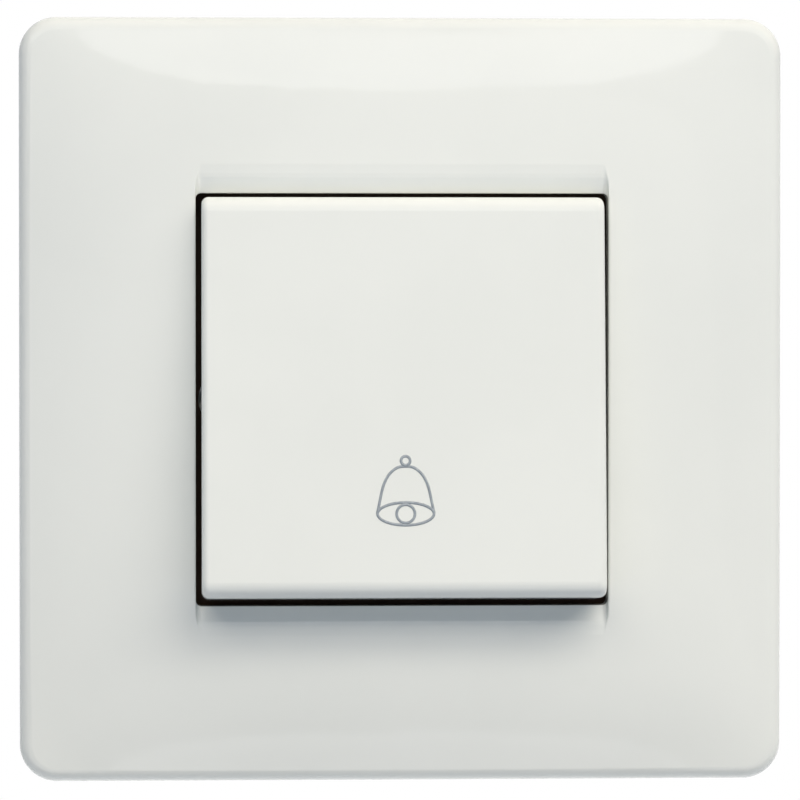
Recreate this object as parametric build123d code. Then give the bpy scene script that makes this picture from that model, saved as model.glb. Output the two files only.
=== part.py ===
from build123d import *
import os
from math import atan, atan2, cos, degrees, radians, sin, tan

# All sizes are in millimetres.
# Modelling is done as seen on the wall: x right, y up, z out of the wall, wall plane at z = 0.
# place() turns each finished piece so that z is up and the front faces -y.

# Cover frame
frame_size = 82.0
frame_corner = 4.0
frame_edge_height = 6.9
frame_rise = 2.3
pillow_degree = 9
frame_wall = 2.0
frame_edge_round = 1.5
opening_size = 44.2
opening_corner = 0.6
ramp_width = 2.1
ramp_depth = 0.9
ramp_shoulder = 0.5
ramp_shoulder_steps = 2
ramp_end_round = 0.5
opening_edge_round = 0.2
opening_rim_wall = 1.2
opening_rim_depth = 3.4

# Key
key_gap = 0.61
key_end_gap = 0.72
key_drop = 0.2
key_proud = 4.0
key_face_wall = 1.8
key_skirt = 7.3
key_skirt_wall = 1.5
key_end_round = 1.65
key_side_round = 0.75
rest_tilt = 5.0

# Rocker behind the key
trunnion_radius = 1.5
barrel_radius = 2.4
barrel_length = 24.0
barrel_shoulder = 1.0
rocker_length = 30.0
rocker_plate = 2.0
rocker_web = 1.6
nose_place = 9.0
nose_radius = 2.0
nose_reach = 7.2
hook_width = 5.0
hook_wall = 1.2
hook_reach = 0.8
hook_place = 7.5

# Support plate of folded steel sheet
plate_corner = 4.0
plate_margin = 1.5
sheet = 1.0
slot_pitch = 60.0
slot_width = 3.6
slot_length = 7.0
lug_place_x = 15.0
lug_room = 2.1
lug_width = 8.0
lug_height = 4.2
lug_window_width = 5.0
lug_window_height = 1.8
lug_window_sill = 1.4
leg_wall = 1.5

# Mechanism base behind the plate and bearing cover in front of it
base_height = 40.0
base_depth = 20.0
base_wall = 1.8
base_corner = 4.0
cavity_corner = 0.5
base_rear_round = 1.0
rim_bearing = 1.2
cover_wall = 1.5
cover_corner = 1.5
collar_offset = 0.3
collar_wall = 1.0
ear_wall = 2.0
ear_radius = 2.8
boss_radius = 2.4
boss_overlap = 0.2
cover_screw_radius = 1.25
cover_screw_length = 12.0
cover_screw_head = 2.3

# Contacts
bearing_inset = 0.5
tip_inset = 1.5
lever_width = 6.0
lever_wall = 0.8
lever_end = 1.8
lever_trunnion = 0.8
strip_wall = 0.8
cheek_width = 3.6
tip_radius = 1.6
tip_height = 0.85
tip_shank = 0.8
tip_tail = 0.3

# Terminals
terminal_width = 8.0
terminal_depth = 8.0
terminal_height = 8.5
wire_radius = 1.5
wire_depth = 6.8
wire_entry_radius = 1.9
terminal_screw_radius = 1.75
terminal_screw_head = 2.5
terminal_screw_head_height = 1.5
terminal_screw_rise = 4.2
stake_radius = 1.2
stake_head = 1.9
stake_head_height = 0.5

# Return spring under the lever
spring_mean_radius = 2.25
spring_wire = 0.5
wire_sides = 5
spring_turns = 4
spring_seat = 9.0
spring_post_radius = 3.4
spring_pilot_radius = 1.5
spring_pilot_height = 1.5

# Spreading claws
claw_width = 8.0
claw_sheet = 1.0
claw_pin_radius = 1.0
claw_pin_head = 1.5
claw_pin_head_height = 0.6
claw_reach = 4.6
claw_length = 12.5
claw_tooth = 2.0
claw_spread = 25.0
claw_screw_offset = 3.1
claw_screw_room = 0.9
claw_screw_radius = 1.5
claw_screw_head = 2.6
claw_screw_head_height = 1.6
claw_boss_wall = 0.9
claw_boss_height = 1.0

# Clearances; past is how far a cutter runs beyond the face it cuts
running = 0.05
thread = 0.05
loose = 0.3
touch = 0.12
snap = 0.2
past = 1.0
slot_cut_width = 0.7
slot_cut_depth = 0.7

# Places that follow from the sizes above
key_width = opening_size - 2 * key_gap
key_length = opening_size - 2 * key_end_gap
cover_front = sheet + cover_wall
pivot_height = cover_front + barrel_radius + loose
rocker_width = barrel_length - 2 * barrel_shoulder
plate_size = slot_pitch + slot_length + 2 * plate_margin
lug_place_y = opening_size / 2 + collar_offset + collar_wall + lug_room
base_width = opening_size - 2 * (claw_screw_offset + claw_screw_head + claw_screw_room)
boss_place = base_height / 2 - base_wall - boss_radius + boss_overlap
terminal_place = base_width / 2 - base_wall - snap - terminal_width / 2
lever_arm = terminal_place - bearing_inset
lever_tip_arm = lever_arm + terminal_place - tip_inset
cover_screw_end = cover_front - cover_screw_length
cavity_floor = base_wall - base_depth
cavity_bottom = base_wall - base_height / 2
claw_screw_place = base_width / 2 + claw_screw_offset
claw_place = claw_screw_place + claw_reach
claw_bore = claw_pin_radius + running
claw_knuckle = claw_bore + claw_sheet
claw_axis = -claw_knuckle - loose
terminal_y = cavity_bottom + terminal_depth / 2
terminal_top = cavity_floor + terminal_height
nose_low = nose_reach - nose_radius
lever_tilt = degrees(atan(nose_place * sin(radians(rest_tilt)) / lever_arm))
nose_middle = pivot_height - nose_low * cos(radians(rest_tilt)) - nose_radius
lever_axis = nose_middle - touch - lever_wall / 2 / cos(radians(lever_tilt))


def bulge(place):
    share = 2 * place / frame_size
    return 1 - ((1 + share) / 2) ** pillow_degree - ((1 - share) / 2) ** pillow_degree


def frame_height(x, y):
    return frame_edge_height + frame_rise * bulge(x) * bulge(y)


opening_rim_low = frame_height(0, opening_size / 2) - opening_rim_depth
key_face = frame_height(0, opening_size / 2) + key_proud
key_ceiling = key_face - key_face_wall
key_back = key_face - key_skirt
rocker_back = key_ceiling - rocker_plate


def span(x0, x1, y0, y1, z0, z1):
    middle = ((x0 + x1) / 2, (y0 + y1) / 2, (z0 + z1) / 2)
    return Pos(*middle) * Box(x1 - x0, y1 - y0, z1 - z0)


def rod_x(radius, y, z, x0, x1):
    return Pos((x0 + x1) / 2, y, z) * Rot(Y=90) * Cylinder(radius, x1 - x0)


def rod_y(radius, x, z, y0, y1):
    return Pos(x, (y0 + y1) / 2, z) * Rot(X=90) * Cylinder(radius, y1 - y0)


def rod_z(radius, x, y, z0, z1):
    return Pos(x, y, (z0 + z1) / 2) * Cylinder(radius, z1 - z0)


def rounded_block(width, height, corner, z0, z1):
    return Pos(0, 0, z0) * extrude(RectangleRounded(width, height, corner), z1 - z0)


def mirrored_x(shape):
    return mirror(shape, Plane.YZ)


def mirrored_y(shape):
    return mirror(shape, Plane.XZ)


def four(shape):
    pair = [shape, mirrored_x(shape)]
    return pair + [mirrored_y(one) for one in pair]


def key_tilt(shape):
    turn = Pos(0, 0, pivot_height) * Rot(X=-rest_tilt) * Pos(0, 0, -pivot_height)
    return turn * shape


def lever_turn(shape):
    turn = Pos(-lever_arm, 0, lever_axis) * Rot(Y=-lever_tilt) * Pos(lever_arm, 0, -lever_axis)
    return turn * shape


def pillow_block():
    last = pillow_degree
    poles = []
    for i in range(last + 1):
        row = []
        for j in range(last + 1):
            inside = 0 < i < last and 0 < j < last
            height = frame_edge_height + (frame_rise if inside else 0)
            row.append((frame_size * (i / last - 0.5), frame_size * (j / last - 0.5), height))
        poles.append(row)
    skin = Face.make_bezier_surface(poles)
    return extrude(skin, amount=2 * frame_edge_height + frame_rise, dir=(0, 0, -1))


def leaned_scoop(pillow, outer, lean):
    # What the pillow loses when its own skin is leaned inwards about the straight line at outer.
    inner = opening_size / 2
    hinge = Pos(0, outer, frame_height(0, outer))
    leaned = hinge * Rot(X=lean) * hinge.inverse() * pillow
    top = frame_edge_height + 2 * frame_rise
    scoop = span(-inner, inner, inner - ramp_width, outer + ramp_width, frame_edge_height, top) - leaned
    floor = scoop.faces().filter_by(GeomType.BEZIER)[0]
    ends = [edge for edge in floor.edges() if abs(edge.center().X) > inner - snap]
    return fillet(ends, ramp_end_round)


def finger_ramp(pillow):
    outer = opening_size / 2 + ramp_width
    lean = degrees(atan2(ramp_depth, ramp_width))
    scoop = leaned_scoop(pillow, outer, lean)
    for step in range(1, ramp_shoulder_steps + 1):
        scoop += leaned_scoop(pillow, outer + step * ramp_shoulder, lean / 2**step)
    return scoop


def snap_leg():
    inner = lug_place_y + sheet + snap
    outer = inner + leg_wall
    half = (lug_window_width - 2 * snap) / 2
    top = frame_height(lug_place_x + half, outer) - frame_wall / 2
    sill = sheet + lug_window_sill
    leg = span(lug_place_x - half, lug_place_x + half, inner, outer, sheet + snap, top)
    hook_low = sill + snap
    hook_high = sill + lug_window_height - snap
    hook = span(lug_place_x - half, lug_place_x + half, lug_place_y, inner, hook_low, hook_high)
    lead = hook.edges().filter_by(Axis.X).group_by(Axis.Y)[0].sort_by(Axis.Z)[0]
    hook = chamfer(lead, (hook_high - hook_low) / 2)
    return leg + hook


def make_cover_frame():
    pillow = pillow_block()
    high = frame_edge_height + frame_rise
    body = pillow & span(-frame_size, frame_size, -frame_size, frame_size, 0, 2 * high)
    body = fillet(body.edges().filter_by(Axis.Z), frame_corner)
    body = fillet(body.faces().sort_by(Axis.Z)[-1].edges(), frame_edge_round)
    inner = frame_size - 2 * frame_wall
    hollow = Pos(0, 0, -frame_wall) * pillow
    body -= hollow & rounded_block(inner, inner, frame_corner - frame_wall, -high, high)
    rim_size = opening_size + 2 * opening_rim_wall
    rim_top = frame_height(rim_size / 2, rim_size / 2) - frame_wall / 2
    body += rounded_block(rim_size, rim_size, opening_corner + opening_rim_wall, opening_rim_low, rim_top)
    body -= rounded_block(opening_size, opening_size, opening_corner, 0, 2 * high)
    skin = body.faces().filter_by(GeomType.BEZIER).sort_by(Axis.Z)[-1]
    body = fillet(skin.inner_wires()[0].edges(), opening_edge_round)
    ramp = finger_ramp(pillow)
    body = body - ramp - mirrored_y(ramp)
    for leg in four(snap_leg()):
        body += leg
    return body


def key_hook():
    inner = rocker_length / 2 + snap
    low = rocker_back - snap - hook_wall
    left = hook_place - hook_width / 2
    right = hook_place + hook_width / 2
    arm = span(left, right, inner, inner + hook_wall, low, key_ceiling + key_face_wall / 2)
    barb = span(left, right, inner - hook_reach, inner, low, rocker_back - snap)
    lead = barb.edges().filter_by(Axis.X).group_by(Axis.Y)[0].sort_by(Axis.Z)[0]
    return arm + chamfer(lead, hook_reach / 2)


def make_key():
    half = key_width / 2
    top = key_length / 2 - key_drop
    bottom = -key_length / 2 - key_drop
    body = span(-half, half, bottom, top, key_back, key_face)
    ends = body.edges().filter_by(Axis.X).group_by(Axis.Z)[-1]
    body = fillet(ends, key_end_round)
    rims = body.faces().filter_by(Axis.X).edges()
    rims = rims - body.faces().sort_by(Axis.Z)[0].edges()
    body = fillet(rims, key_side_round)
    wide = key_width - 2 * key_skirt_wall
    long = key_length - 2 * key_skirt_wall
    body -= Pos(0, -key_drop) * rounded_block(wide, long, key_side_round, key_back - past, key_ceiling)
    for hook in four(key_hook()):
        body += hook
    return key_tilt(body)


def make_rocker():
    half = barrel_length / 2
    pin_end = half + loose + ear_wall
    body = rod_x(barrel_radius, 0, pivot_height, -half, half)
    body += rod_x(trunnion_radius, 0, pivot_height, -pin_end, pin_end)
    wide = rocker_width / 2
    long = rocker_length / 2
    body += span(-wide, wide, -long, long, rocker_back, key_ceiling)
    for x in (-half + rocker_web / 2, 0, half - rocker_web / 2):
        x0 = max(-wide, x - rocker_web / 2)
        x1 = min(wide, x + rocker_web / 2)
        body += span(x0, x1, -barrel_radius, barrel_radius, pivot_height, rocker_back)
    low = pivot_height - nose_low
    body += rod_z(nose_radius, 0, -nose_place, low, rocker_back)
    body += Pos(0, -nose_place, low) * Sphere(nose_radius)
    body += span(-rocker_web / 2, rocker_web / 2, -nose_place, 0, pivot_height, rocker_back)
    return key_tilt(body)


def support_lug():
    left = lug_place_x - lug_width / 2
    right = lug_place_x + lug_width / 2
    lug = span(left, right, lug_place_y, lug_place_y + sheet, sheet / 2, sheet + lug_height)
    half = lug_window_width / 2
    sill = sheet + lug_window_sill
    head = sill + lug_window_height
    return lug - span(lug_place_x - half, lug_place_x + half, 0, plate_size, sill, head)


def claw_ear():
    inner = claw_width / 2 + loose
    outer = inner + sheet
    ear = span(claw_place - claw_knuckle, claw_place + claw_knuckle, inner, outer, claw_axis, sheet / 2)
    ear += rod_y(claw_knuckle, claw_place, claw_axis, inner, outer)
    return ear - rod_y(claw_pin_radius, claw_place, claw_axis, inner - past, outer + past)


def make_support_frame():
    body = rounded_block(plate_size, plate_size, plate_corner, 0, sheet)
    wide = base_width - 2 * rim_bearing
    tall = base_height - 2 * rim_bearing
    body -= rounded_block(wide, tall, base_corner - rim_bearing, -past, sheet + past)
    slot = extrude(SlotOverall(slot_length, slot_width, rotation=90), sheet + 2 * past)
    body -= Pos(0, slot_pitch / 2, -past) * slot
    body -= Pos(0, -slot_pitch / 2, -past) * slot
    lug_half = lug_width / 2 + snap
    lug_back = lug_place_y + sheet
    blank = span(lug_place_x - lug_half, lug_place_x + lug_half, lug_back, lug_back + lug_height,
                 -past, sheet + past)
    for cut in four(blank):
        body -= cut
    for lug in four(support_lug()):
        body += lug
    ear_half = claw_width / 2 + loose
    window = span(claw_place - claw_knuckle, claw_place + claw_knuckle, -ear_half, ear_half,
                  -past, sheet + past)
    body = body - window - mirrored_x(window)
    for ear in four(claw_ear()):
        body += ear
    hole = claw_screw_radius + running
    boss = rod_z(hole + claw_boss_wall, claw_screw_place, 0, -claw_boss_height, sheet / 2)
    bore = rod_z(hole, claw_screw_place, 0, -claw_boss_height - past, sheet + past)
    body = body + boss + mirrored_x(boss)
    return body - bore - mirrored_x(bore)


def make_mechanism_base():
    body = rounded_block(base_width, base_height, base_corner, -base_depth, 0)
    body = fillet(body.faces().sort_by(Axis.Z)[0].edges(), base_rear_round)
    wide = base_width - 2 * base_wall
    tall = base_height - 2 * base_wall
    body -= rounded_block(wide, tall, cavity_corner, cavity_floor, past)
    boss_top = sheet - snap / 2
    for y in (-boss_place, boss_place):
        body += rod_z(boss_radius, 0, y, cavity_floor - base_wall / 2, boss_top)
        pilot = cover_screw_end - loose
        body -= rod_z(cover_screw_radius + thread, 0, y, pilot, boss_top + past)
    seat = -base_depth + spring_seat
    body += rod_z(spring_post_radius, 0, -nose_place, cavity_floor - base_wall / 2, seat)
    body += rod_z(spring_pilot_radius, 0, -nose_place, seat - past, seat + spring_pilot_height)
    inner = terminal_place - terminal_width / 2 - snap / 2
    upper = terminal_y + terminal_depth / 2 + snap / 2
    rib_top = cavity_floor + terminal_height / 2
    floor = cavity_floor - base_wall / 2
    rib = span(inner - strip_wall, inner, cavity_bottom - base_wall / 2, upper + strip_wall, floor, rib_top)
    rib += span(inner - strip_wall, wide / 2 + base_wall / 2, upper, upper + strip_wall, floor, rib_top)
    entry = rod_z(wire_entry_radius, terminal_place, terminal_y, -base_depth - past, cavity_floor + past)
    mouth = Pos(terminal_place, terminal_y, -base_depth) * Cone(
        wire_entry_radius + base_wall / 2, wire_entry_radius - base_wall / 2, base_wall
    )
    access = terminal_screw_head + loose
    screw_z = cavity_floor + terminal_screw_rise
    port = rod_y(access, terminal_place, screw_z, -base_height / 2 - past, cavity_bottom + loose)
    for one in (rib, mirrored_x(rib)):
        body += one
    for one in (entry, mouth, port):
        body = body - one - mirrored_x(one)
    return body


def make_mechanism_cover():
    outer = opening_size + 2 * (collar_offset + collar_wall)
    inner = opening_size + 2 * collar_offset
    collar_top = opening_rim_low - loose
    body = rounded_block(outer, outer, cover_corner, sheet, collar_top)
    body -= rounded_block(inner, inner, cover_corner - collar_wall, cover_front, collar_top + past)
    ear_inner = barrel_length / 2 + loose
    ear_outer = ear_inner + ear_wall
    ear = span(ear_inner, ear_outer, -ear_radius, ear_radius, cover_front - cover_wall / 2, pivot_height)
    ear += rod_x(ear_radius, 0, pivot_height, ear_inner, ear_outer)
    bore = rod_x(trunnion_radius + running, 0, pivot_height, ear_inner - past, ear_outer + past)
    for one in (ear, mirrored_x(ear)):
        body += one
    body = body - bore - mirrored_x(bore)
    room = nose_radius + nose_reach * sin(radians(rest_tilt)) + loose
    body -= span(-room, room, -nose_place - room, -nose_place + room, 0, cover_front + past)
    for y in (-boss_place, boss_place):
        body -= cover_screw_shape(y, snap / 2)
    access = rod_z(claw_screw_head + 2 * loose, claw_screw_place, 0, 0, cover_front + past)
    return body - access - mirrored_x(access)


def cover_screw_shape(y, grow):
    head = cover_screw_head + grow
    shank = cover_screw_radius + grow
    cone = head - shank
    top = cover_front + (past if grow else 0)
    shape = rod_z(shank, 0, y, cover_screw_end, top)
    shape += Pos(0, y, cover_front - cone / 2) * Cone(shank, head, cone)
    if grow:
        shape += rod_z(head, 0, y, cover_front, top)
    return shape


def make_cover_screws():
    screws = []
    for y in (-boss_place, boss_place):
        slot = span(-plate_size, plate_size, y - slot_cut_width / 2, y + slot_cut_width / 2,
                    cover_front - slot_cut_depth, cover_front + past)
        screws.append(cover_screw_shape(y, 0) - slot)
    return screws[0] + screws[1]


def make_lever():
    half = lever_width / 2
    thick = lever_wall / 2
    end = lever_tip_arm - lever_arm + tip_radius + lever_end / 2
    body = span(-lever_arm - lever_end, end, -nose_place - half, -nose_place + half,
                lever_axis - thick, lever_axis + thick)
    reach = half + loose + strip_wall + loose
    body += rod_y(lever_trunnion, -lever_arm, lever_axis, -nose_place - reach, -nose_place + reach)
    tip_x = lever_tip_arm - lever_arm
    body -= rod_z(tip_shank, tip_x, -nose_place, lever_axis - past, lever_axis + past)
    return lever_turn(body)


def contact_tip(x, seat, wall):
    # A domed contact rivet, head up on a strip whose upper face is at seat.
    bow = (tip_radius**2 + tip_height**2) / (2 * tip_height)
    dome = Pos(x, -nose_place, seat + tip_height - bow) * Sphere(bow)
    body = dome & span(x - bow, x + bow, -nose_place - bow, -nose_place + bow, seat, seat + tip_height)
    body += rod_z(tip_shank - thread, x, -nose_place, seat - wall, seat + tip_height / 2)
    return body + rod_z((tip_radius + tip_shank) / 2, x, -nose_place, seat - wall - tip_tail, seat - wall)


def tip_meeting():
    # Height at which the lever's dome would stop when the key is fully pressed.
    down = radians(lever_tilt)
    return lever_axis - lever_tip_arm * sin(down) - (lever_wall / 2 + tip_height) / cos(down)


def make_moving_tip():
    tip_x = lever_tip_arm - lever_arm
    upright = contact_tip(tip_x, 0, lever_wall)
    flipped = Pos(tip_x, -nose_place, 0) * Rot(X=180) * Pos(-tip_x, nose_place, 0) * upright
    return lever_turn(Pos(0, 0, lever_axis - lever_wall / 2) * flipped)


def fixed_seat():
    return tip_meeting() - running - tip_height


def make_fixed_tip():
    return contact_tip(lever_tip_arm - lever_arm, fixed_seat(), strip_wall)


def stake_place():
    return terminal_y - terminal_depth / 4


def make_fixed_contact():
    inner = terminal_place - terminal_width / 2
    outer = terminal_place + terminal_width / 2
    half = lever_width / 2
    low = terminal_top
    high = fixed_seat()
    foot = span(inner, outer, cavity_bottom + loose, -nose_place + half, low, low + strip_wall)
    leg = span(outer - strip_wall, outer, -nose_place - half, -nose_place + half, low, high)
    arm = span(inner, outer, -nose_place - half, -nose_place + half, high - strip_wall, high)
    body = foot + leg + arm
    body -= rod_z(stake_radius + thread, terminal_place, stake_place(), low - past, low + strip_wall + past)
    tip_x = lever_tip_arm - lever_arm
    return body - rod_z(tip_shank, tip_x, -nose_place, high - strip_wall - past, high + past)


def make_common_bracket():
    inner = terminal_place - terminal_width / 2
    outer = terminal_place + terminal_width / 2
    gap = lever_width / 2 + loose
    low = terminal_top
    far = -nose_place + gap + strip_wall
    body = span(-outer, -inner, cavity_bottom + loose, far, low, low + strip_wall)
    half = cheek_width / 2
    bore = lever_trunnion + running
    for side in (-1, 1):
        y = -nose_place + side * (gap + strip_wall / 2)
        y0 = y - strip_wall / 2
        y1 = y + strip_wall / 2
        body += span(-lever_arm - half, -lever_arm + half, y0, y1, low, lever_axis)
        body += rod_y(half, -lever_arm, lever_axis, y0, y1)
    body -= rod_y(bore, -lever_arm, lever_axis, -nose_place - 2 * gap, -nose_place + 2 * gap)
    high = low + strip_wall
    return body - rod_z(stake_radius + thread, -terminal_place, stake_place(), low - past, high + past)


def make_terminal():
    half = terminal_width / 2
    deep = terminal_depth / 2
    body = span(terminal_place - half, terminal_place + half, terminal_y - deep, terminal_y + deep,
                cavity_floor, terminal_top)
    body = chamfer(body.edges().filter_by(Axis.Z), strip_wall / 2)
    body -= rod_z(wire_radius, terminal_place, terminal_y, cavity_floor - past, cavity_floor + wire_depth)
    screw_z = cavity_floor + terminal_screw_rise
    body -= rod_y(terminal_screw_radius + thread, terminal_place, screw_z, cavity_bottom - past, terminal_y)
    stake = terminal_top + strip_wall
    body += rod_z(stake_radius, terminal_place, stake_place(), terminal_top - strip_wall / 2, stake)
    return body + rod_z(stake_head, terminal_place, stake_place(), stake, stake + stake_head_height)


def make_terminal_screws():
    screw_z = cavity_floor + terminal_screw_rise
    tip = terminal_y - wire_radius - 2 * running
    low = cavity_bottom - terminal_screw_head_height
    screw = rod_y(terminal_screw_radius, terminal_place, screw_z, cavity_bottom, tip)
    screw += rod_y(terminal_screw_head, terminal_place, screw_z, low, cavity_bottom)
    wide = 2 * terminal_screw_head
    screw -= span(terminal_place - wide, terminal_place + wide, low - past, low + slot_cut_depth,
                  screw_z - slot_cut_width / 2, screw_z + slot_cut_width / 2)
    return screw + mirrored_x(screw)


def make_return_spring():
    low = -base_depth + spring_seat + spring_wire / 2
    drop = spring_mean_radius * tan(radians(lever_tilt)) + spring_wire
    under = lever_axis + lever_arm * tan(radians(lever_tilt)) - lever_wall / 2
    high = under - drop
    coil = Helix(pitch=(high - low) / spring_turns, height=high - low, radius=spring_mean_radius)
    start = Plane(origin=coil @ 0, z_dir=coil % 0)
    spring = sweep(start * RegularPolygon(spring_wire / 2, wire_sides), path=coil, is_frenet=True)
    return Pos(0, -nose_place, low) * spring


def make_claw():
    half = claw_width / 2
    body = rod_y(claw_knuckle, claw_place, claw_axis, -half, half)
    low = claw_axis - claw_knuckle
    inner = claw_screw_place - claw_screw_radius
    body += span(inner, claw_place, -half, half, low, low + claw_sheet)
    end = claw_axis - claw_length
    right = claw_place + claw_knuckle
    body += span(right - claw_sheet, right, -half, half, end, claw_axis)
    tooth = span(right - claw_sheet, right + claw_tooth, -half, half, end, end + claw_sheet)
    notch = Pos(right + claw_tooth, 0, end) * Rot(Z=45) * Box(half, half, 4 * claw_sheet)
    body += tooth - notch
    return body - rod_y(claw_bore, claw_place, claw_axis, -claw_width, claw_width)


def make_claw_pin():
    outer = claw_width / 2 + loose + sheet
    head = outer + claw_pin_head_height
    body = rod_y(claw_pin_radius, claw_place, claw_axis, -outer, outer)
    body += rod_y(claw_pin_head, claw_place, claw_axis, outer, head)
    return body + rod_y(claw_pin_head, claw_place, claw_axis, -head, -outer)


def claw_tip_middle(angle):
    # Height of the screw tip's centre when the tip meets the claw's arm at this angle.
    lift = claw_screw_radius + touch - (claw_knuckle - claw_sheet)
    return claw_axis + (lift - claw_reach * sin(radians(angle))) / cos(radians(angle))


claw_screw_travel = claw_tip_middle(0) - claw_tip_middle(claw_spread)


def make_claw_screw():
    middle = claw_tip_middle(0)
    seat = sheet + claw_screw_travel + touch
    top = seat + claw_screw_head_height
    body = rod_z(claw_screw_radius, claw_screw_place, 0, middle, seat)
    body += Pos(claw_screw_place, 0, middle) * Sphere(claw_screw_radius)
    body += rod_z(claw_screw_head, claw_screw_place, 0, seat, top)
    half = slot_cut_width / 2
    far = 2 * claw_screw_head
    slot = span(claw_screw_place - far, claw_screw_place + far, -half, half, top - slot_cut_depth, top + past)
    return body - slot


def place(name, shape):
    shape = shape.moved(Plane.XZ.location)
    shape.label = name
    export_step(shape, os.path.join("parts", name + ".step"))


os.makedirs("parts", exist_ok=True)
terminal = make_terminal()
claw = make_claw()
claw_pin = make_claw_pin()
claw_screw = make_claw_screw()
place("cover_frame", make_cover_frame())
place("key", make_key())
place("rocker", make_rocker())
place("support_frame", make_support_frame())
place("mechanism_base", make_mechanism_base())
place("mechanism_cover", make_mechanism_cover())
place("cover_screws", make_cover_screws())
place("contact_lever", make_lever())
place("moving_tip", make_moving_tip())
place("common_bracket", make_common_bracket())
place("fixed_contact", make_fixed_contact())
place("fixed_tip", make_fixed_tip())
place("left_terminal", mirrored_x(terminal))
place("right_terminal", terminal)
place("terminal_screws", make_terminal_screws())
place("return_spring", make_return_spring())
place("left_claw", mirrored_x(claw))
place("right_claw", claw)
place("left_claw_pin", mirrored_x(claw_pin))
place("right_claw_pin", claw_pin)
place("left_claw_screw", mirrored_x(claw_screw))
place("right_claw_screw", claw_screw)

print("key pivot", 0, -pivot_height, 0, "range", 2 * rest_tilt)
print("lever pivot", -lever_arm, -lever_axis, -nose_place, "range", 2 * lever_tilt)
print("claw pivot", claw_place, -claw_axis, "screw travel", claw_screw_travel)
print("wire bores", terminal_place, -cavity_floor, terminal_y, "depth", wire_depth)
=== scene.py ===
import bpy
import math
from mathutils import Matrix, Vector


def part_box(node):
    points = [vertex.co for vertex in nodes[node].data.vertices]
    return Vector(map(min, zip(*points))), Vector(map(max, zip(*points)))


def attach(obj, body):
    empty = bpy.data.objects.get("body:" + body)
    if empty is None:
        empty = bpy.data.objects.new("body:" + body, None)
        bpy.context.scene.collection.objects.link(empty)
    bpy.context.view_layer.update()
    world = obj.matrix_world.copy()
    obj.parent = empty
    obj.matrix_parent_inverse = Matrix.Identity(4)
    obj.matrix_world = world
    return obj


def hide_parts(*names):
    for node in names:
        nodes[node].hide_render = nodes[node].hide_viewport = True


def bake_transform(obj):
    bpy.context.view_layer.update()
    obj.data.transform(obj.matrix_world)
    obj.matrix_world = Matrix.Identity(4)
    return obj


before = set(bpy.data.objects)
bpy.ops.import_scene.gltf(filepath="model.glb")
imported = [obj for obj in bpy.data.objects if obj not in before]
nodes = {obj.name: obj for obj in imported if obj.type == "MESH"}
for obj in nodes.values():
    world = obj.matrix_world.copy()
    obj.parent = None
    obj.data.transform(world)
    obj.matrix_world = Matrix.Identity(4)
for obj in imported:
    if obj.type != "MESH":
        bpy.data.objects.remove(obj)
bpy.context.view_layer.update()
scene = bpy.context.scene
scene.view_settings.view_transform = "Standard"
mm = 0.001
outOfWall = Matrix(((1, 0, 0, 0), (0, 0, -1, 0), (0, 1, 0, 0), (0, 0, 0, 1)))  # up becomes out of the wall
print("frame loaded:", len(nodes), "nodes")


class Wire:  # one output socket that can stand in a sum
    def __init__(self, tree, socket):
        self.tree = tree
        self.socket = socket

    def __add__(self, other):
        return self.tree.sum("ADD", self, other)

    def __radd__(self, other):
        return self.tree.sum("ADD", other, self)

    def __sub__(self, other):
        return self.tree.sum("SUBTRACT", self, other)

    def __rsub__(self, other):
        return self.tree.sum("SUBTRACT", other, self)

    def __mul__(self, other):
        return self.tree.sum("MULTIPLY", self, other)

    def __rmul__(self, other):
        return self.tree.sum("MULTIPLY", other, self)

    def __truediv__(self, other):
        return self.tree.sum("DIVIDE", self, other)

    def __rtruediv__(self, other):
        return self.tree.sum("DIVIDE", other, self)

    def __pow__(self, other):
        return self.tree.sum("POWER", self, other)

    def __abs__(self):
        return self.tree.sum("ABSOLUTE", self)

    def between(self, low, high):  # smooth 0 to 1
        sockets = {"Value": self, "From Min": low, "From Max": high}
        return self.tree.add("ShaderNodeMapRange", {"interpolation_type": "SMOOTHSTEP"}, sockets)


class NodeTree:  # shader, world and geometry trees share these calls
    def __init__(self, tree):
        self.tree = tree

    def add(self, kind, settings=None, sockets=None, out=0):
        node = self.tree.nodes.new(kind)
        for name, value in (settings or {}).items():
            setattr(node, name, value)
        for name, value in (sockets or {}).items():
            self.feed(node.inputs[name], value)
        return Wire(self, node.outputs[out])

    def feed(self, socket, value):
        if isinstance(value, Wire):
            self.tree.links.new(value.socket, socket)
        else:
            socket.default_value = value

    def sum(self, operation, *terms):
        return self.add("ShaderNodeMath", {"operation": operation}, dict(enumerate(terms)))

    def vector(self, **parts):
        return self.add("ShaderNodeCombineXYZ", {}, parts)

    def axis(self, where, letter):
        return self.add("ShaderNodeSeparateXYZ", {}, {0: where}, letter)


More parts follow.
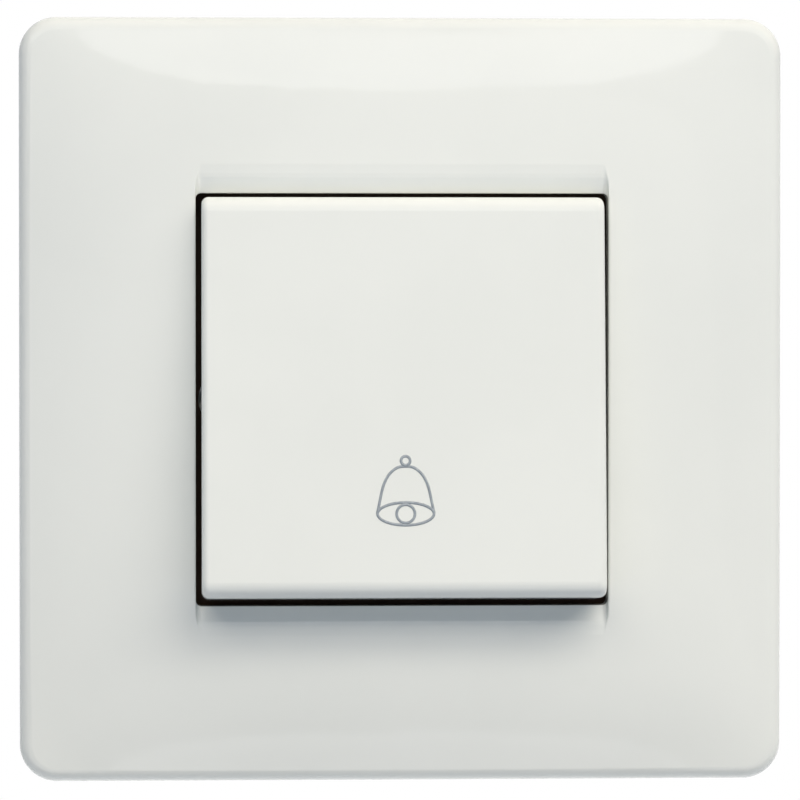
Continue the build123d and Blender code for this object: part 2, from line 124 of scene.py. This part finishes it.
class Paint(NodeTree):  # one material with a Principled shader
    def __init__(self, name):
        self.material = bpy.data.materials.new(name)
        self.material.use_nodes = True
        super().__init__(self.material.node_tree)
        self.tree.nodes.clear()
        self.shader = self.tree.nodes.new("ShaderNodeBsdfPrincipled")
        self.surface = self.tree.nodes.new("ShaderNodeOutputMaterial").inputs["Surface"]
        self.tree.links.new(self.shader.outputs[0], self.surface)

    def set(self, **sockets):
        for name, value in sockets.items():
            self.feed(self.shader.inputs[name.replace("_", " ")], value)

    def spot(self, scale=(1, 1, 1)):
        where = self.add("ShaderNodeTexCoord", out="Object")
        return self.add("ShaderNodeMapping", {}, {"Vector": where, "Scale": scale})

    def noise(self, where, scale, detail=2.0, out=0):
        return self.add("ShaderNodeTexNoise", {}, {"Vector": where, "Scale": scale, "Detail": detail}, out)

    def cells(self, where, scale):
        return self.add("ShaderNodeTexVoronoi", {}, {"Vector": where, "Scale": scale}, "Color")

    def blend(self, share, first, second):
        return self.tint(share, (*first, 1), second)

    def tint(self, share, colour, second):  # the first colour may already vary
        return self.add("ShaderNodeMix", {"data_type": "RGBA"}, {0: share, 6: colour, 7: (*second, 1)}, 2)

    def bump(self, height, depth, soft=None):
        sockets = {"Height": height, "Distance": depth, "Strength": 1.0}
        if soft:
            sockets["Normal"] = soft
        return self.add("ShaderNodeBump", {}, sockets)

    def softEdge(self, radius):
        return self.add("ShaderNodeBevel", {"samples": 6}, {"Radius": radius})


whiteMould = {"light": (0.815, 0.828, 0.790), "shade": (0.795, 0.809, 0.772), "index": 1.5,
              "clouds": 45.0, "cloudSpan": (0.35, 0.65), "dust": 5200.0, "dustRough": 0.02,
              "peel": 900.0, "peelDepth": 0.0000012,
              "gloss": {"frame": 0.05, "key": 0.09}, "edge": {"frame": 0.00024, "key": 0.00012}}


def whitePlastic(name, piece):
    plan = whiteMould
    paint = Paint(name)
    where = paint.spot()
    cloud = paint.noise(where, plan["clouds"], detail=3.0)  # faint flow clouds of the moulding
    dust = paint.noise(where, plan["dust"], detail=1.0)
    peel = paint.noise(where, plan["peel"])  # orange peel of the polished mould
    soft = paint.softEdge(plan["edge"][piece])
    paint.set(Base_Color=paint.blend(cloud.between(*plan["cloudSpan"]), plan["light"], plan["shade"]),
              Roughness=plan["gloss"][piece] + plan["dustRough"] * (dust - 0.5),
              Normal=paint.bump(peel, plan["peelDepth"], soft), IOR=plan["index"])
    return paint.material


# painted shade: near-black brown plastic that makes the gap round the key look deeply shaded
paintedShadeMould = {"base": (0.075, 0.041, 0.021), "rub": (0.095, 0.058, 0.034), "specular": 0.25,
             "mottle": 130.0, "mottleSpan": (0.4, 0.75), "spark": 2600.0, "sparkDepth": 0.000012,
             "rough": 0.52, "sparkRough": 0.2}


def paintedShadePlastic(name):
    plan = paintedShadeMould
    paint = Paint(name)
    where = paint.spot()
    mottle = paint.noise(where, plan["mottle"], detail=4.0)
    spark = paint.noise(where, plan["spark"])  # eroded mould texture
    # painted shade colour for the gap round the key, with a faint random mottle
    paint.set(Base_Color=paint.blend(mottle.between(*plan["mottleSpan"]), plan["base"], plan["rub"]),
              Roughness=plan["rough"] + plan["sparkRough"] * (spark - 0.5),
              Normal=paint.bump(spark, plan["sparkDepth"]), Specular_IOR_Level=plan["specular"])
    return paint.material


greyMould = {"cup": ((0.520, 0.525, 0.510), (0.470, 0.476, 0.462)),
             "rocker": ((0.430, 0.435, 0.430), (0.390, 0.394, 0.390)),
             "flow": 150.0, "flowStretch": (1, 0.35, 1), "flowSpan": (0.3, 0.7),
             "flecks": 3400.0, "fleckSpan": (0.68, 0.74), "fleck": (0.30, 0.30, 0.29), "fleckShare": 0.6,
             "matt": 1500.0, "mattDepth": 0.000006, "rough": 0.46, "mattRough": 0.18, "edge": 0.00015}


def greyPlastic(name, piece):
    plan = greyMould
    paint = Paint(name)
    where = paint.spot()
    flow = paint.noise(paint.spot(plan["flowStretch"]), plan["flow"], detail=4.0)
    fleck = paint.noise(where, plan["flecks"], detail=1.0).between(*plan["fleckSpan"])  # filler specks
    matt = paint.noise(where, plan["matt"], detail=3.0)
    colour = paint.blend(flow.between(*plan["flowSpan"]), *plan[piece])
    paint.set(Base_Color=paint.tint(fleck * plan["fleckShare"], colour, plan["fleck"]),
              Roughness=plan["rough"] + plan["mattRough"] * (matt - 0.5),
              Normal=paint.bump(matt, plan["mattDepth"], paint.softEdge(plan["edge"])))
    return paint.material


zincSheet = {"bright": (0.66, 0.675, 0.685), "dull": (0.47, 0.485, 0.50), "bloom": (0.60, 0.60, 0.59),
             "crystals": 330.0, "crystalTone": 0.7, "crystalHeight": 0.6, "swirl": 500.0, "nudge": 0.0012,
             "feathers": 900.0, "featherTone": 0.3, "featherHeight": 0.4, "featherStretch": (1, 1, 6),
             "stains": 240.0, "stainSpan": (0.52, 0.72), "stainShare": 0.25,
             "rough": 0.34, "crystalRough": 0.16, "stainRough": 0.10, "depth": 0.000003, "edge": 0.0001}


def galvanisedSheet(name):
    plan = zincSheet
    paint = Paint(name)
    where = paint.spot()
    swirl = paint.noise(where, plan["swirl"], out="Color")
    nudge = paint.add("ShaderNodeVectorMath", {"operation": "SCALE"}, {0: swirl, "Scale": plan["nudge"]})
    ragged = paint.add("ShaderNodeVectorMath", {"operation": "ADD"}, {0: where, 1: nudge})
    crystal = paint.axis(paint.cells(ragged, plan["crystals"]), "X")  # one tone for each zinc crystal
    feather = paint.noise(paint.spot(plan["featherStretch"]), plan["feathers"])
    stain = paint.noise(where, plan["stains"]).between(*plan["stainSpan"])
    tone = crystal * plan["crystalTone"] + feather * plan["featherTone"]
    height = crystal * plan["crystalHeight"] + feather * plan["featherHeight"]
    colour = paint.blend(tone, plan["dull"], plan["bright"])
    paint.set(Base_Color=paint.tint(stain * plan["stainShare"], colour, plan["bloom"]),
              Roughness=plan["rough"] + plan["crystalRough"] * (crystal - 0.5) + plan["stainRough"] * stain,
              Normal=paint.bump(height, plan["depth"], paint.softEdge(plan["edge"])), Metallic=1.0)
    return paint.material


zincScrew = {"bright": (0.74, 0.75, 0.76), "warm": (0.70, 0.68, 0.60),
             "clouds": 420.0, "cloudSpan": (0.45, 0.7), "cloudRough": 0.12, "rough": 0.24,
             "rings": 42000.0, "ringHeight": 0.5, "depth": 0.000004, "edge": 0.00008,
             "cover": (0.016, "Z", "X"), "terminal": (0.0095, "X", "Z"), "claw": (0.0186, "X", "Z"),
             "pin": (0.0232, "X", "Z")}  # reach from the middle, the axis it runs along, the axis across it


def turnedZinc(name, pair):  # fine rings round a front-to-back line on each side of the middle
    plan = zincScrew
    reach, aside, other = plan[pair]
    paint = Paint(name)
    where = paint.spot()
    across = abs(paint.axis(where, aside)) - reach
    along = paint.axis(where, other)
    ring = paint.sum("SINE", (across * across + along * along) ** 0.5 * plan["rings"])
    cloud = paint.noise(where, plan["clouds"], detail=3.0)
    height = ring * plan["ringHeight"] + cloud
    paint.set(Base_Color=paint.blend(cloud.between(*plan["cloudSpan"]), plan["bright"], plan["warm"]),
              Roughness=plan["rough"] + plan["cloudRough"] * (cloud - 0.5),
              Normal=paint.bump(height, plan["depth"], paint.softEdge(plan["edge"])), Metallic=1.0)
    return paint.material


stripMetal = {"bronze": ((0.68, 0.42, 0.25), (0.52, 0.30, 0.17), 0.30),  # bright, tarnished, roughness
              "brass": ((0.78, 0.58, 0.25), (0.62, 0.44, 0.17), 0.26),
              "silver": ((0.86, 0.85, 0.82), (0.70, 0.68, 0.64), 0.22),
              "spring": ((0.50, 0.51, 0.52), (0.36, 0.36, 0.37), 0.30),
              "claw": ((0.62, 0.63, 0.63), (0.50, 0.50, 0.47), 0.33),
              "lines": 3000.0, "lineRough": 0.14, "lineDepth": 0.000003, "edge": 0.00008,
              "tarnish": 260.0, "tarnishSpan": (0.42, 0.74), "dullSpan": (0.5, 0.8), "dullRough": 0.12}


def drawnMetal(name, kind, stretch=(1, 1, 1)):
    plan = stripMetal
    bright, dull, rough = plan[kind]
    paint = Paint(name)
    lines = paint.noise(paint.spot(stretch), plan["lines"])  # rolling or cutting lines
    tarnish = paint.noise(paint.spot(), plan["tarnish"], detail=4.0)
    worn = plan["dullRough"] * tarnish.between(*plan["dullSpan"])
    paint.set(Base_Color=paint.blend(tarnish.between(*plan["tarnishSpan"]), bright, dull),
              Roughness=rough + plan["lineRough"] * (lines - 0.5) + worn,
              Normal=paint.bump(lines, plan["lineDepth"], paint.softEdge(plan["edge"])), Metallic=1.0)
    return paint.material


finishes = {
    "cover_frame": whitePlastic("coverFrameWhite", "frame"),
    "key": whitePlastic("keyWhite", "key"),
    "rocker": greyPlastic("rockerGrey", "rocker"),
    "mechanism_base": greyPlastic("mechanismCupGrey", "cup"),
    # the bearing cover's brown-black is painted shade for the gap round the key
    "mechanism_cover": paintedShadePlastic("bearingCoverBrownBlack"),
    "support_frame": galvanisedSheet("supportPlateGalvanised"),
    "cover_screws": turnedZinc("coverScrewZinc", "cover"),
    "terminal_screws": turnedZinc("terminalScrewZinc", "terminal"),
    "contact_lever": drawnMetal("leverBronze", "bronze", (0.03, 1, 1)),
    "common_bracket": drawnMetal("bracketBronze", "bronze", (1, 1, 0.03)),
    "fixed_contact": drawnMetal("fixedContactBronze", "bronze", (1, 1, 0.03)),
    "moving_tip": drawnMetal("movingTipSilver", "silver"),
    "fixed_tip": drawnMetal("fixedTipSilver", "silver"),
    "left_terminal": drawnMetal("leftTerminalBrass", "brass", (1, 0.04, 1)),
    "right_terminal": drawnMetal("rightTerminalBrass", "brass", (1, 0.04, 1)),
    "return_spring": drawnMetal("springWire", "spring"),
    "left_claw": drawnMetal("leftClawSteel", "claw", (1, 1, 0.05)),
    "right_claw": drawnMetal("rightClawSteel", "claw", (1, 1, 0.05)),
}
clawScrewZinc = turnedZinc("clawScrewZinc", "claw")
clawPinZinc = turnedZinc("clawPinZinc", "pin")
for side in ("left", "right"):
    finishes[side + "_claw_screw"] = clawScrewZinc
    finishes[side + "_claw_pin"] = clawPinZinc
for name, node in nodes.items():
    for slot in node.material_slots:
        slot.material = finishes[name]
print("finishes set on", len(finishes), "nodes")


def newTree(name, sizes, takesPath=False):  # a tree with one named number for each size
    group = bpy.data.node_groups.new(name, "GeometryNodeTree")
    face = group.interface
    if takesPath:
        face.new_socket("Geometry", in_out="INPUT", socket_type="NodeSocketGeometry")
    ids = {}
    for size in sizes:
        ids[size] = face.new_socket(size, in_out="INPUT", socket_type="NodeSocketFloat").identifier
    face.new_socket("Geometry", in_out="OUTPUT", socket_type="NodeSocketGeometry")
    tree = NodeTree(group)
    entry = group.nodes.new("NodeGroupInput")
    given = {socket.name: Wire(tree, socket) for socket in entry.outputs if socket.name}
    return tree, given, ids


def closeTree(tree, body, finish):
    body = tree.add("GeometryNodeRealizeInstances", {}, {"Geometry": body})
    body = tree.add("GeometryNodeSetMaterial", {}, {"Geometry": body, "Material": finish})
    leave = tree.tree.nodes.new("NodeGroupOutput")
    tree.feed(leave.inputs["Geometry"], body)


def grow(name, tree, ids, sizes, place, path=None):  # runs a tree once and keeps its mesh
    maker = bpy.data.objects.new(name + "Maker", path or bpy.data.meshes.new(name + "Start"))
    scene.collection.objects.link(maker)
    stack = maker.modifiers.new("make", "NODES")
    stack.node_group = tree.tree
    for size, value in sizes.items():
        stack[ids[size]] = value
    seen = maker.evaluated_get(bpy.context.evaluated_depsgraph_get())
    mesh = bpy.data.meshes.new_from_object(seen)
    maker.modifiers.remove(stack)
    bpy.data.objects.remove(maker)
    mesh.name = name
    mesh.transform(place)
    piece = bpy.data.objects.new(name, mesh)
    scene.collection.objects.link(piece)
    return piece


def smoothSides(piece, sharpest=40):  # edges over this many degrees stay crisp
    piece.data.shade_smooth()
    piece.data.set_sharp_from_angle(angle=math.radians(sharpest))


signPlan = {"middle": 0.09, "stroke": 0.29, "proud": 0.02, "sunk": 0.01, "step": 0.08, "layerLift": 0.002,
            "loop": (-6.86, 0.48), "rim": (-12.49, 2.99, 1.20), "clapper": (-12.49, 0.97), "ringPoints": 48,
            "dome": ((3.02, -12.45), (2.86, -11.70), (2.71, -11.0), (2.57, -10.25), (2.40, -9.58),
                     (2.15, -8.95), (1.84, -8.40), (1.43, -7.95), (0.98, -7.62), (0.50, -7.45)),
            "ink": (0.270, 0.305, 0.335), "worn": (0.345, 0.380, 0.410),
            "wear": 2400.0, "wearSpan": (0.35, 0.7),
            "grain": 9000.0, "grainDepth": 0.000002, "rough": 0.45, "grainRough": 0.15}


def signInk():
    plan = signPlan
    paint = Paint("signInkGrey")
    where = paint.spot()
    wear = paint.noise(where, plan["wear"])
    grain = paint.noise(where, plan["grain"], detail=1.0)
    paint.set(Base_Color=paint.blend(wear.between(*plan["wearSpan"]), plan["ink"], plan["worn"]),
              Roughness=plan["rough"] + plan["grainRough"] * (grain - 0.5),
              Normal=paint.bump(grain, plan["grainDepth"]))
    return paint.material


def strokeTree():
    tree, given, ids = newTree("signStrokes", ("width", "depth", "step", "layerLift"), takesPath=True)
    path = tree.add("GeometryNodeResampleCurve", {"mode": "LENGTH"},
                    {"Curve": given["Geometry"], "Length": given["step"]})
    path = tree.add("GeometryNodeSetCurveNormal", {"mode": "Z_UP"}, {"Curve": path})
    order = tree.add("GeometryNodeCurveOfPoint", out="Curve Index")
    lift = tree.vector(Z=order * given["layerLift"])  # no two strokes level
    path = tree.add("GeometryNodeSetPosition", {}, {"Geometry": path, "Offset": lift})
    strip = tree.add("GeometryNodeCurvePrimitiveQuadrilateral", {},
                     {"Width": given["width"], "Height": given["depth"]})
    body = tree.add("GeometryNodeCurveToMesh", {},
                    {"Curve": path, "Profile Curve": strip, "Fill Caps": True})
    closeTree(tree, body, signInk())
    return tree, ids


def ring(curve, level, wide, tall):
    points = signPlan["ringPoints"]
    line = curve.splines.new("POLY")
    line.points.add(points - 1)
    for index, point in enumerate(line.points):
        turn = 2 * math.pi * index / points
        point.co = (signPlan["middle"] + wide * math.cos(turn), level + tall * math.sin(turn), 0, 1)
    line.use_cyclic_u = True


def signCurve():
    curve = bpy.data.curves.new("signPaths", "CURVE")
    curve.dimensions = "3D"
    middle = signPlan["middle"]
    right = [(middle + x, y) for x, y in signPlan["dome"]]
    left = [(middle - x, y) for x, y in reversed(signPlan["dome"])]
    line = curve.splines.new("NURBS")
    line.points.add(len(right + left) - 1)
    for point, (x, y) in zip(line.points, right + left):
        point.co = (x, y, 0, 1)
    line.order_u = 4
    line.use_endpoint_u = True
    line.resolution_u = 6
    ring(curve, *signPlan["rim"])
    for part in ("clapper", "loop"):
        level, radius = signPlan[part]
        ring(curve, level, radius, radius)
    return curve


def keyFace():  # place of the key's front face: right, up and out of it
    mesh = nodes["key"].data
    out = max(mesh.polygons, key=lambda face: face.area).normal.copy()
    front = [face for face in mesh.polygons if face.normal.dot(out) > 0.99999]  # level with the largest face
    corners = [mesh.vertices[index].co for face in front for index in face.vertices]
    low = min(corners, key=lambda corner: corner.z)
    high = max(corners, key=lambda corner: corner.z)
    middle = (low + high) / 2
    right = Vector((1, 0, 0))
    up = out.cross(right)
    place = Matrix((right, up, out)).transposed().to_4x4()
    place.translation = Vector((0, middle.y, middle.z))
    return place


def makeSign():
    tree, ids = strokeTree()
    proud, sunk = signPlan["proud"], signPlan["sunk"]
    sizes = {"width": signPlan["stroke"], "depth": proud + sunk, "step": signPlan["step"],
             "layerLift": signPlan["layerLift"]}
    place = keyFace() @ Matrix.Scale(mm, 4) @ Matrix.Translation((0, 0, (proud - sunk) / 2))
    sign = grow("bellSign", tree, ids, sizes, place, signCurve())
    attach(sign, "key")
    print("bell sign made:", len(sign.data.polygons), "faces")


makeSign()


clawScrewPlan = {"shank": 1.5, "thread": 0.26, "pitch": 0.5, "headHeight": 1.6, "rim": 0.3, "slotWidth": 0.7,
                 "slotDepth": 0.7, "sink": 0.4}
clawScrewMesh = {"around": 40, "rows": 110, "lastRow": 0.9995, "weld": 0.005,
                 "headSides": 48, "headBands": 16}


def clawScrewTree():
    fine = clawScrewMesh
    tree, given, ids = newTree("clawScrewTurning", (*clawScrewPlan, "length", "headRadius"))
    place = tree.add("GeometryNodeInputPosition")
    x, y, z = (tree.axis(place, letter) for letter in "XYZ")
    turn = x + 0.5  # the sheet runs once round the shank and from its tip into the head
    along = y + 0.5
    height = along * (given["length"] - given["headHeight"] + given["sink"])
    phase = tree.sum("FRACT", height / given["pitch"] - turn + 1.0)
    flank = 1.0 - 2.0 * abs(phase - 0.5)  # 0 on the crest, 1 in the groove
    radius = given["shank"] - given["thread"] * flank
    depth = given["shank"] - tree.sum("MINIMUM", height, given["shank"])
    ball = (given["shank"] * given["shank"] - depth * depth) ** 0.5  # rounded tip
    radius = tree.sum("MINIMUM", radius, ball) * tree.sum("LESS_THAN", along, fine["lastRow"])
    angle = turn * (2 * math.pi)
    thread = tree.vector(X=radius * tree.sum("COSINE", angle), Y=radius * tree.sum("SINE", angle), Z=height)
    sheet = tree.add("GeometryNodeMeshGrid", {}, {
        "Size X": 1.0, "Size Y": 1.0, "Vertices X": fine["around"] + 1, "Vertices Y": fine["rows"]})
    shank = tree.add("GeometryNodeSetPosition", {}, {"Geometry": sheet, "Position": thread})
    shank = tree.add("GeometryNodeMergeByDistance", {}, {"Geometry": shank, "Distance": fine["weld"]})
    disc = tree.add("GeometryNodeMeshCylinder", {}, {
        "Vertices": fine["headSides"], "Side Segments": fine["headBands"], "Radius": given["headRadius"],
        "Depth": given["headHeight"]})
    over = tree.sum("MAXIMUM", abs(z) - given["headHeight"] / 2.0 + given["rim"], 0.0)
    rounded = given["headRadius"] - given["rim"] + (given["rim"] * given["rim"] - over * over) ** 0.5
    share = rounded / given["headRadius"]
    top = tree.vector(X=x * share, Y=y * share, Z=z + given["length"] - given["headHeight"] / 2.0)
    head = tree.add("GeometryNodeSetPosition", {}, {"Geometry": disc, "Position": top})
    blade = tree.vector(X=3.0 * given["headRadius"], Y=given["slotWidth"], Z=2.0 * given["slotDepth"])
    cutter = tree.add("GeometryNodeMeshCube", {}, {"Size": blade})
    cutter = tree.add("GeometryNodeTransform", {}, {"Geometry": cutter,
                                                    "Translation": tree.vector(Z=given["length"])})
    head = tree.add("GeometryNodeMeshBoolean", {"operation": "DIFFERENCE", "solver": "EXACT"},
                    {"Mesh 1": head, "Mesh 2": cutter})
    both = tree.add("GeometryNodeJoinGeometry", {}, {"Geometry": head})
    tree.feed(both.socket.node.inputs["Geometry"], shank)
    closeTree(tree, both, clawScrewZinc)
    return tree, ids


def makeClawScrews():
    tree, ids = clawScrewTree()
    for side in ("left", "right"):
        node = side + "_claw_screw"
        low, high = (Vector(corner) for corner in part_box(node))
        sizes = {**clawScrewPlan, "length": (high.y - low.y) / mm, "headRadius": (high.x - low.x) / 2 / mm}
        tip = Matrix.Translation(((low.x + high.x) / 2, high.y, (low.z + high.z) / 2))
        screw = grow(side + "ClawScrew", tree, ids, sizes, tip @ outOfWall @ Matrix.Scale(mm, 4))
        smoothSides(screw)
        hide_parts(node)
        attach(screw, node)
        print(side, "claw screw cut:", len(screw.data.polygons), "faces")


makeClawScrews()


springPlan = {"coil": 2.25, "wire": 0.25, "turns": 4.0}
springMesh = {"pointsPerTurn": 40, "wireSides": 14}


def springTree():
    tree, given, ids = newTree("returnSpringCoil", (*springPlan, "height"))
    path = tree.add("GeometryNodeCurveSpiral", {}, {
        "Resolution": springMesh["pointsPerTurn"], "Rotations": given["turns"], "Height": given["height"],
        "Start Radius": given["coil"], "End Radius": given["coil"], "Reverse": True})
    rim = tree.add("GeometryNodeCurvePrimitiveCircle", {},
                   {"Resolution": springMesh["wireSides"], "Radius": given["wire"]})
    coil = tree.add("GeometryNodeCurveToMesh", {}, {"Curve": path, "Profile Curve": rim, "Fill Caps": True})
    closeTree(tree, coil, finishes["return_spring"])
    return tree, ids


def makeSpring():
    tree, ids = springTree()
    low, high = (Vector(corner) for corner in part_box("return_spring"))
    wire = springPlan["wire"] * mm
    middle = (low + high) / 2
    sizes = {**springPlan, "height": (high.y - low.y) / mm - 2 * springPlan["wire"]}
    foot = Vector((middle.x, high.y - wire, middle.z))
    place = Matrix.Translation(foot) @ outOfWall @ Matrix.Scale(mm, 4)
    spring = grow("returnSpring", tree, ids, sizes, place)
    smoothSides(spring)
    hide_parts("return_spring")
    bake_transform(spring)
    print("return spring wound:", len(spring.data.polygons), "faces")


makeSpring()


roomLight = {"ambient": (0.165, 0.199, 0.252), "white": (1.0, 1.0, 1.0)}
floorPlan = {"level": -0.12, "half": 0.5, "rough": 0.8,
             "seen": (0.80, 0.80, 0.79), "bounce": (0.12, 0.12, 0.12)}


def rayShare(tree, *kinds):  # 1 for these rays, 0 for all others
    path = tree.add("ShaderNodeLightPath").socket.node
    share = Wire(tree, path.outputs[kinds[0]])
    for kind in kinds[1:]:
        share = share + Wire(tree, path.outputs[kind])
    return share


def layFloor():
    half = floorPlan["half"]
    level = floorPlan["level"]
    mesh = bpy.data.meshes.new("floor")
    corners = [(-half, -half, level), (half, -half, level), (half, half, level), (-half, half, level)]
    mesh.from_pydata(corners, [], [(0, 1, 2, 3)])
    paint = Paint("floorPale")
    seen = paint.blend(rayShare(paint, "Is Camera Ray"), floorPlan["bounce"], floorPlan["seen"])
    paint.set(Base_Color=seen, Roughness=floorPlan["rough"])
    white = paint.add("ShaderNodeEmission", {}, {"Color": (*roomLight["white"], 1), "Strength": 1.0})
    mirrored = rayShare(paint, "Is Glossy Ray", "Is Transmission Ray")
    paint.feed(paint.surface, paint.add("ShaderNodeMixShader", {}, {
        0: mirrored, 1: Wire(paint, paint.shader.outputs[0]), 2: white}))
    mesh.materials.append(paint.material)
    floor = bpy.data.objects.new("floor", mesh)
    scene.collection.objects.link(floor)


def lightRoom():
    world = bpy.data.worlds.new("studio")
    scene.world = world
    world.use_nodes = True
    room = NodeTree(world.node_tree)
    room.tree.nodes.clear()
    dim = room.add("ShaderNodeBackground", {}, {"Color": (*roomLight["ambient"], 1), "Strength": 1.0})
    white = room.add("ShaderNodeBackground", {}, {"Color": (*roomLight["white"], 1), "Strength": 1.0})
    shown = rayShare(room, "Is Camera Ray", "Is Glossy Ray", "Is Transmission Ray")
    both = room.add("ShaderNodeMixShader", {}, {0: shown, 1: dim, 2: white})
    output = room.tree.nodes.new("ShaderNodeOutputWorld")
    room.feed(output.inputs["Surface"], both)


warm = (1.0, 0.93, 0.823)
cool = (0.654, 0.790, 1.0)
rearTone = (1.0, 0.96, 0.90)
rearPlace = {"middle": (0.25, 0.78, 0.15), "aim": (0.0, 0.01, 0.0), "wide": 0.9, "tall": 0.8}
panels = {  # the cards show only as reflections, and what doesn't shine lights without one
    "overhead": {"middle": (0.45, -0.25, 0.62), "wide": 0.8, "tall": 0.40, "bright": 1.9,
                 "tone": warm, "shines": False},
    "slant": {"middle": (0.60, -0.50, 0.62), "wide": 1.1, "tall": 0.20, "bright": 5.0,
              "tone": warm, "shines": False},
    "ceiling": {"middle": (0.25, -0.825, 0.62), "wide": 1.8, "tall": 0.75, "bright": 3.5,
                "tone": warm, "shines": False},
    "ceilingCard": {"middle": (0.0, -1.26, 0.62), "wide": 2.0, "tall": 1.62, "bright": 1.3, "lights": False},
    "tableFront": {"middle": (0.0, -0.30, -0.115), "wide": 1.0, "tall": 0.25, "bright": 1.02,
                   "tone": cool, "shines": False},
    "tableNear": {"middle": (0.0, -0.10, -0.115), "wide": 0.6, "tall": 0.12, "bright": 0.151,
                  "tone": cool, "shines": False},
    "tableUnder": {"middle": (0.0, 0.025, -0.115), "wide": 0.4, "tall": 0.03, "bright": 4.6,
                   "shines": False},
    "tableCard": {"middle": (0.0, -0.145, -0.114), "wide": 0.5, "tall": 0.11, "bright": 0.8,
                  "lights": False},
    "behind": {**rearPlace, "bright": 2.2, "tone": rearTone, "shines": False},
    "behindCard": {**rearPlace, "bright": 0.35, "lights": False},
}


def softbox(name, middle, wide, tall, bright, aim=None, tone=(1, 1, 1), lights=True, shines=True):
    lamp = bpy.data.lights.new(name, "AREA")
    lamp.shape = "RECTANGLE"
    lamp.size = wide
    lamp.size_y = tall
    lamp.color = tone
    lamp.energy = bright * math.pi * wide * tall  # bright is the panel's own radiance
    box = bpy.data.objects.new(name, lamp)
    box.location = middle
    target = Vector(aim or (middle[0], middle[1], 0.0))  # straight down or up if no aim is given
    box.rotation_euler = (target - Vector(middle)).to_track_quat("-Z", "Y").to_euler()
    box.visible_camera = False
    box.visible_diffuse = lights
    box.visible_glossy = shines
    scene.collection.objects.link(box)


layFloor()
lightRoom()
for name, plan in panels.items():
    softbox(name, **plan)


cameraPlan = {"azimuth": -2.777, "elevation": 1.125, "distance": 491.9, "target": (-0.086, -5.0, -0.090),
              "lens": 205.33, "sensor": 36.0, "nearest": 10.0}


def setCamera():
    turn = math.radians(cameraPlan["azimuth"])
    rise = math.radians(cameraPlan["elevation"])
    away = Vector((math.sin(turn) * math.cos(rise), -math.cos(turn) * math.cos(rise), math.sin(rise)))
    data = bpy.data.cameras.new("photoCamera")
    data.lens = cameraPlan["lens"]
    data.sensor_width = cameraPlan["sensor"]
    data.clip_start = cameraPlan["nearest"] * mm
    camera = bpy.data.objects.new("photoCamera", data)
    camera.location = (Vector(cameraPlan["target"]) + away * cameraPlan["distance"]) * mm
    camera.rotation_euler = away.to_track_quat("Z", "Y").to_euler()
    scene.collection.objects.link(camera)
    scene.camera = camera


setCamera()
print("lights and camera set")
